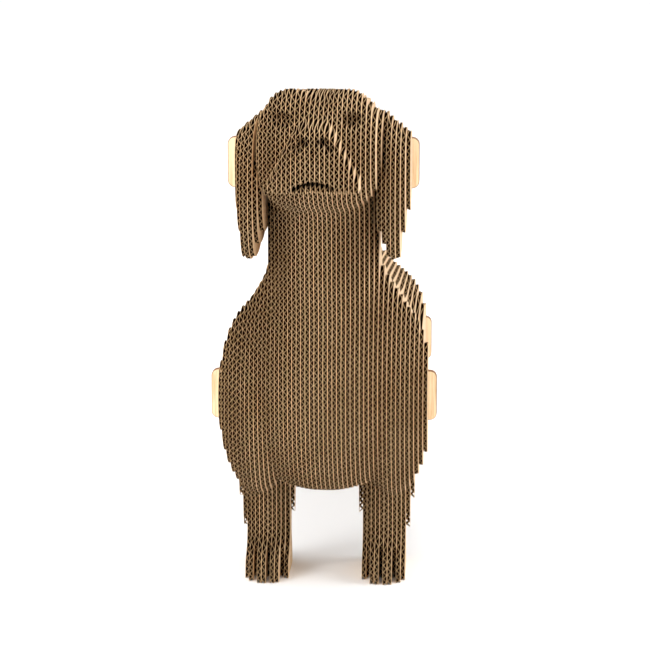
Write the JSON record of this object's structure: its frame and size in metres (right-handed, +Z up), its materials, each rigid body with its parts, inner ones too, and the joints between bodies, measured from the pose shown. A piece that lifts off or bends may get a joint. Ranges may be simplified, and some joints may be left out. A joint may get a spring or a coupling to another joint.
{
  "type": "layered cardboard dog puzzle",
  "caption": "Standing long-bodied dog built from upright fluted cardboard slices stacked side by side on three plywood cross pins.",
  "frame": {"origin": "on the floor under the middle of the bounding box, between the paws", "axes": "+Z up, -Y is where the dog faces, +X towards the dog's left flank as seen by someone facing it on their right"},
  "size_m": [0.0834, 0.3153, 0.1858],
  "materials": {
    "kraft_board": "raw kraft, cut edges",
    "kraft_ear_board": "raw kraft, cut edges",
    "pin_plywood": "laser cut birch plywood, browned edges"
  },
  "bodies": {
    "stack": {"board_left_24": "kraft_board", "board_left_23": "kraft_board", "board_left_22": "kraft_board", "board_left_21": "kraft_board", "board_left_20": "kraft_board", "board_left_19": "kraft_board", "board_left_18": "kraft_board", "board_left_17": "kraft_board", "board_left_16": "kraft_board", "board_left_15": "kraft_board", "board_left_14": "kraft_board", "board_left_13": "kraft_board", "board_left_12": "kraft_board", "board_left_11": "kraft_board", "board_left_10": "kraft_board", "board_left_09": "kraft_board", "board_left_08": "kraft_board", "board_left_07": "kraft_board", "board_left_06": "kraft_board", "board_left_05": "kraft_board", "board_left_04": "kraft_board", "board_left_03": "kraft_board", "board_left_02": "kraft_board", "board_left_01": "kraft_board", "board_mid": "kraft_board", "board_right_01": "kraft_board", "board_right_02": "kraft_board", "board_right_03": "kraft_board", "board_right_04": "kraft_board", "board_right_05": "kraft_board", "board_right_06": "kraft_board", "board_right_07": "kraft_board", "board_right_08": "kraft_board", "board_right_09": "kraft_board", "board_right_10": "kraft_board", "board_right_11": "kraft_board", "board_right_12": "kraft_board", "board_right_13": "kraft_board", "board_right_14": "kraft_board", "board_right_15": "kraft_board", "board_right_16": "kraft_board", "board_right_17": "kraft_board", "board_right_18": "kraft_board", "board_right_19": "kraft_board", "board_right_20": "kraft_board", "board_right_21": "kraft_board", "board_right_22": "kraft_board", "board_right_23": "kraft_board", "ear_boards_left_1_2": "kraft_ear_board", "ear_boards_left_3_4": "kraft_ear_board", "ear_boards_left_5_6": "kraft_ear_board", "ear_boards_right_1_2": "kraft_ear_board", "ear_boards_right_3_4": "kraft_ear_board", "ear_boards_right_5_6": "kraft_ear_board", "ear_board_left_7": "kraft_ear_board", "ear_board_right_7": "kraft_ear_board"},
    "head_pin_body": {"head_pin": "pin_plywood"},
    "shoulder_pin_body": {"shoulder_pin": "pin_plywood"},
    "hip_pin_body": {"hip_pin": "pin_plywood"}
  },
  "joints": [
    {"name": "head_pin_slide", "type": "slide", "parent": "stack", "child": "head_pin_body", "axis": [1, 0, 0], "range_m": [-0.07, 0.07]},
    {"name": "shoulder_pin_slide", "type": "slide", "parent": "stack", "child": "shoulder_pin_body", "axis": [1, 0, 0], "range_m": [-0.083, 0.083]},
    {"name": "hip_pin_slide", "type": "slide", "parent": "stack", "child": "hip_pin_body", "axis": [1, 0, 0], "range_m": [-0.075, 0.075]}
  ]
}
